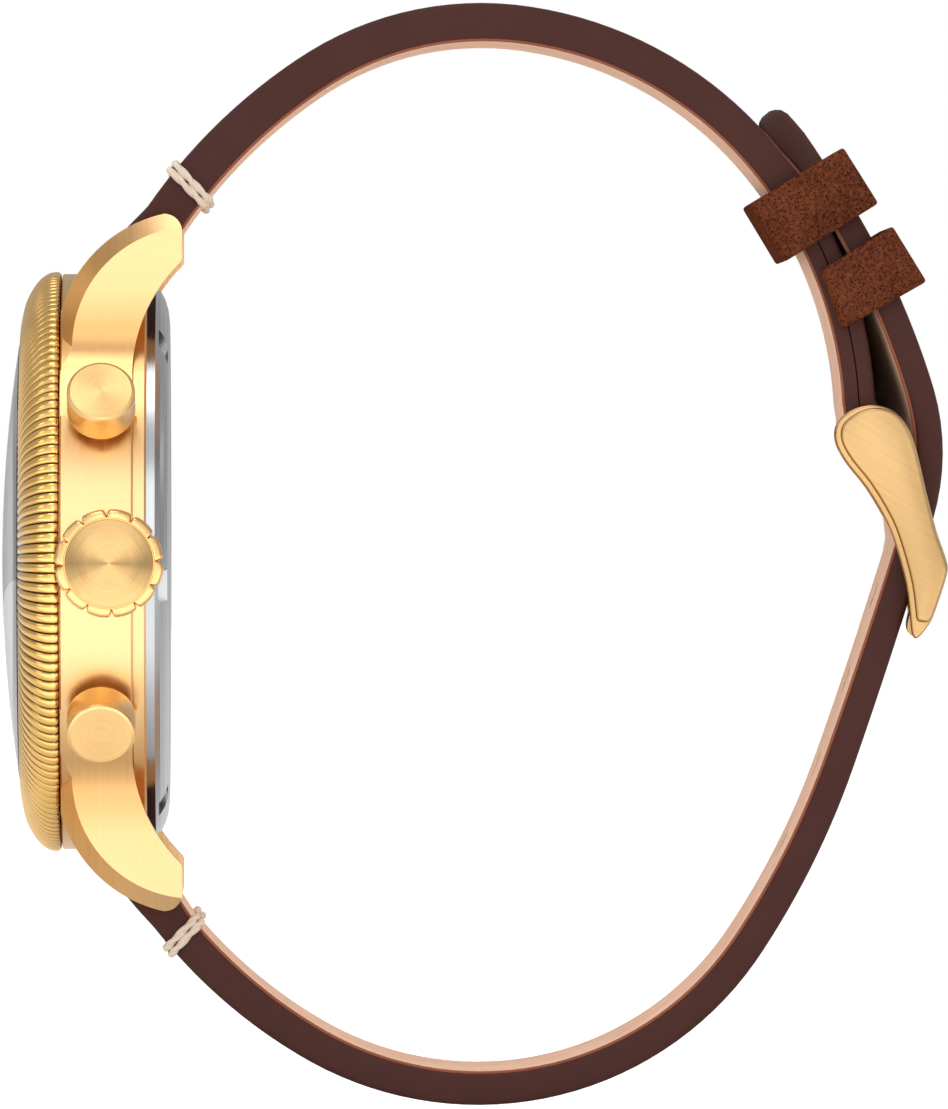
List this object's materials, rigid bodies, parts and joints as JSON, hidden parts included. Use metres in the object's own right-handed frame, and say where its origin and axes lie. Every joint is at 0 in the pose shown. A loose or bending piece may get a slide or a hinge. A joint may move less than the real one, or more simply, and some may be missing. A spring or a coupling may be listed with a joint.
{
  "type": "chronograph wristwatch",
  "caption": "Round gold-coloured chronograph wristwatch with a fluted bezel, domed crystal, crown and two pushers, buckled into a closed loop on a dark brown leather strap.",
  "frame": {"origin": "centre of the case back's flat outer face", "axes": "+Y out of the case back towards the wrist (the dial faces -Y), +Z towards 12 o'clock, +X towards the crown at 3 o'clock"},
  "size_m": [0.0463, 0.0693, 0.0794],
  "materials": {
    "gold_case": "warm yellow gold plating on steel, finely brushed, with polished edges",
    "sapphire": "clear domed crystal",
    "steel": "satin stainless steel",
    "gasket_rubber": "matt black rubber",
    "dial_paint": "ivory lacquer on brass",
    "gold_hands": "polished, gilt",
    "dark_hands": "dark brown lacquer",
    "rhodium_plate": "rhodium plated, striped",
    "blued_steel": "heat blued",
    "ruby": "polished synthetic ruby",
    "brass_wheels": "gilt brass with steel pinions",
    "strap_leather": "dark brown leather with a painted, slightly rough edge",
    "lining_leather": "natural tan lining leather, matt",
    "keeper_leather": "reddish brown leather, finely pored",
    "stitch_thread": "cream waxed thread, twisted"
  },
  "bodies": {
    "case": {"case_middle": "gold_case", "bezel": "gold_case", "crystal": "sapphire", "crystal_gasket": "gasket_rubber", "flange_ring": "dial_paint", "case_back": "steel", "case_back_gasket": "gasket_rubber", "crown_tube": "steel", "pusher_tubes": "gold_case", "lug_spring_bars": "steel", "dial": "dial_paint", "hour_markers": "gold_hands", "movement_ring": "rhodium_plate", "main_plate": "rhodium_plate", "barrel_bridge": "rhodium_plate", "train_bridge": "rhodium_plate", "chrono_bridge": "rhodium_plate", "balance_cock": "rhodium_plate", "movement_screws": "blued_steel", "jewels": "ruby", "hairspring": "blued_steel", "pusher_springs": "steel", "strap_short": "strap_leather", "strap_short_lining": "lining_leather", "strap_long": "strap_leather", "strap_long_lining": "lining_leather", "fixed_keeper": "keeper_leather", "edge_stitches": "stitch_thread", "buckle_spring_bar": "steel"},
    "crown_slider": {"crown_gasket": "gasket_rubber"},
    "crown": {"crown": "gold_case", "winding_stem": "steel"},
    "pusher_start": {"pusher_start": "gold_case"},
    "pusher_reset": {"pusher_reset": "gold_case"},
    "minute_hand": {"cannon_pinion": "steel", "minute_hand": "gold_hands"},
    "hour_hand": {"hour_wheel": "brass_wheels", "hour_hand": "gold_hands"},
    "minute_wheel": {"minute_wheel": "brass_wheels"},
    "running_seconds": {"fourth_wheel": "brass_wheels", "running_seconds_hand": "dark_hands"},
    "third_wheel": {"third_wheel": "brass_wheels"},
    "centre_wheel": {"centre_wheel": "brass_wheels"},
    "barrel": {"barrel": "brass_wheels"},
    "escape_wheel": {"escape_wheel": "steel"},
    "pallet_fork": {"pallet_fork": "steel"},
    "balance": {"balance_wheel": "brass_wheels"},
    "crown_wheel": {"crown_wheel": "steel"},
    "ratchet": {"ratchet_wheel": "steel"},
    "chrono_seconds": {"chrono_wheel": "brass_wheels", "chrono_seconds_hand": "dark_hands"},
    "minute_counter": {"minute_recorder_wheel": "brass_wheels", "minute_counter_hand": "dark_hands"},
    "column_wheel": {"column_wheel": "steel"},
    "operating_lever": {"operating_lever": "steel"},
    "reset_hammer": {"reset_hammer": "steel"},
    "free_keeper": {"free_keeper": "keeper_leather"},
    "buckle": {"buckle_frame": "gold_case"},
    "tongue": {"buckle_tongue": "gold_case"}
  },
  "joints": [
    {"name": "crown_pull", "type": "slide", "parent": "case", "child": "crown_slider", "axis": [1, 0, 0], "range_m": [0, 0.001]},
    {"name": "crown_turn", "type": "hinge", "parent": "crown_slider", "child": "crown", "pos_m": [0, -0.00419, 0], "axis": [1, 0, 0], "continuous": true},
    {"name": "pusher_start_press", "type": "slide", "parent": "case", "child": "pusher_start", "axis": [-0.866, 0, -0.5], "range_m": [0, 0.0008], "stiffness_N_per_m": 2000, "springref_m": -0.0005, "deforming": ["pusher_springs"]},
    {"name": "pusher_reset_press", "type": "slide", "parent": "case", "child": "pusher_reset", "axis": [-0.866, 0, 0.5], "range_m": [0, 0.0008], "stiffness_N_per_m": 2000, "springref_m": -0.0005, "deforming": ["pusher_springs"]},
    {"name": "minute_hand_turn", "type": "hinge", "parent": "case", "child": "minute_hand", "pos_m": [0, 0, 0], "axis": [0, 1, 0], "continuous": true},
    {"name": "hour_hand_turn", "type": "hinge", "parent": "case", "child": "hour_hand", "pos_m": [0, 0, 0], "axis": [0, 1, 0], "continuous": true},
    {"name": "minute_wheel_turn", "type": "hinge", "parent": "case", "child": "minute_wheel", "pos_m": [0, 0, -0.00325], "axis": [0, 1, 0], "continuous": true},
    {"name": "running_seconds_turn", "type": "hinge", "parent": "case", "child": "running_seconds", "pos_m": [-0.007, 0, 0], "axis": [0, 1, 0], "continuous": true},
    {"name": "third_wheel_turn", "type": "hinge", "parent": "case", "child": "third_wheel", "pos_m": [-0.00407, 0, 0.00153], "axis": [0, 1, 0], "continuous": true},
    {"name": "centre_wheel_turn", "type": "hinge", "parent": "case", "child": "centre_wheel", "pos_m": [0, 0, 0], "axis": [0, 1, 0], "continuous": true},
    {"name": "barrel_turn", "type": "hinge", "parent": "case", "child": "barrel", "pos_m": [0.00336, 0, 0.00539], "axis": [0, 1, 0], "continuous": true},
    {"name": "escape_wheel_turn", "type": "hinge", "parent": "case", "child": "escape_wheel", "pos_m": [-0.00827, 0, -0.00272], "axis": [0, 1, 0], "continuous": true},
    {"name": "pallet_fork_rock", "type": "hinge", "parent": "case", "child": "pallet_fork", "pos_m": [-0.00697, 0, -0.00497], "axis": [0, 1, 0], "range_deg": [-5, 5]},
    {"name": "balance_swing", "type": "hinge", "parent": "case", "child": "balance", "pos_m": [-0.00491, 0, -0.00742], "axis": [0, 1, 0], "range_deg": [-135, 135], "stiffness_Nm_per_rad": 0.000001, "deforming": ["hairspring"]},
    {"name": "crown_wheel_turn", "type": "hinge", "parent": "case", "child": "crown_wheel", "pos_m": [0.0101, 0, 0.0033], "axis": [0, 1, 0], "continuous": true},
    {"name": "ratchet_turn", "type": "hinge", "parent": "case", "child": "ratchet", "pos_m": [0.00336, 0, 0.00539], "axis": [0, 1, 0], "continuous": true},
    {"name": "chrono_seconds_turn", "type": "hinge", "parent": "case", "child": "chrono_seconds", "pos_m": [0, 0, 0], "axis": [0, 1, 0], "continuous": true},
    {"name": "minute_counter_turn", "type": "hinge", "parent": "case", "child": "minute_counter", "pos_m": [0.007, 0, 0], "axis": [0, 1, 0], "continuous": true},
    {"name": "column_wheel_step", "type": "hinge", "parent": "case", "child": "column_wheel", "pos_m": [0.004, 0, 0.013], "axis": [0, 1, 0], "range_deg": [0, 30.1]},
    {"name": "operating_lever_rock", "type": "hinge", "parent": "case", "child": "operating_lever", "pos_m": [0.0096, 0, 0.0106], "axis": [0, 1, 0], "range_deg": [0, 10.6]},
    {"name": "reset_hammer_rock", "type": "hinge", "parent": "case", "child": "reset_hammer", "pos_m": [0.0096, 0, -0.0106], "axis": [0, 1, 0], "range_deg": [-10.6, 0]},
    {"name": "free_keeper_slide", "type": "hinge", "parent": "case", "child": "free_keeper", "pos_m": [0, 0.02073, 0.01031], "axis": [1, 0, 0], "range_deg": [-1.9, 4.7]},
    {"name": "buckle_swing", "type": "hinge", "parent": "case", "child": "buckle", "pos_m": [0, 0.0507, 0.0085], "axis": [1, 0, 0], "range_deg": [0, 2]},
    {"name": "tongue_lift", "type": "hinge", "parent": "buckle", "child": "tongue", "pos_m": [0, 0.0507, 0.0085], "axis": [1, 0, 0], "range_deg": [0, 3]}
  ],
  "couplings": [
    {"joint": "hour_hand_turn", "follows": "minute_hand_turn", "ratio": 0.083333},
    {"joint": "minute_wheel_turn", "follows": "minute_hand_turn", "ratio": -0.33333},
    {"joint": "third_wheel_turn", "follows": "running_seconds_turn", "ratio": -0.13333},
    {"joint": "centre_wheel_turn", "follows": "running_seconds_turn", "ratio": 0.016667},
    {"joint": "barrel_turn", "follows": "running_seconds_turn", "ratio": -0.0032407},
    {"joint": "escape_wheel_turn", "follows": "running_seconds_turn", "ratio": -10},
    {"joint": "crown_wheel_turn", "follows": "crown_turn", "ratio": -0.46154},
    {"joint": "ratchet_turn", "follows": "crown_turn", "ratio": 0.3},
    {"joint": "minute_counter_turn", "follows": "chrono_seconds_turn", "ratio": 0.033333},
    {"joint": "column_wheel_step", "follows": "pusher_start_press", "rad_per_m": 654.5},
    {"joint": "operating_lever_rock", "follows": "pusher_start_press", "rad_per_m": 226.87},
    {"joint": "reset_hammer_rock", "follows": "pusher_reset_press", "rad_per_m": -226.87}
  ]
}
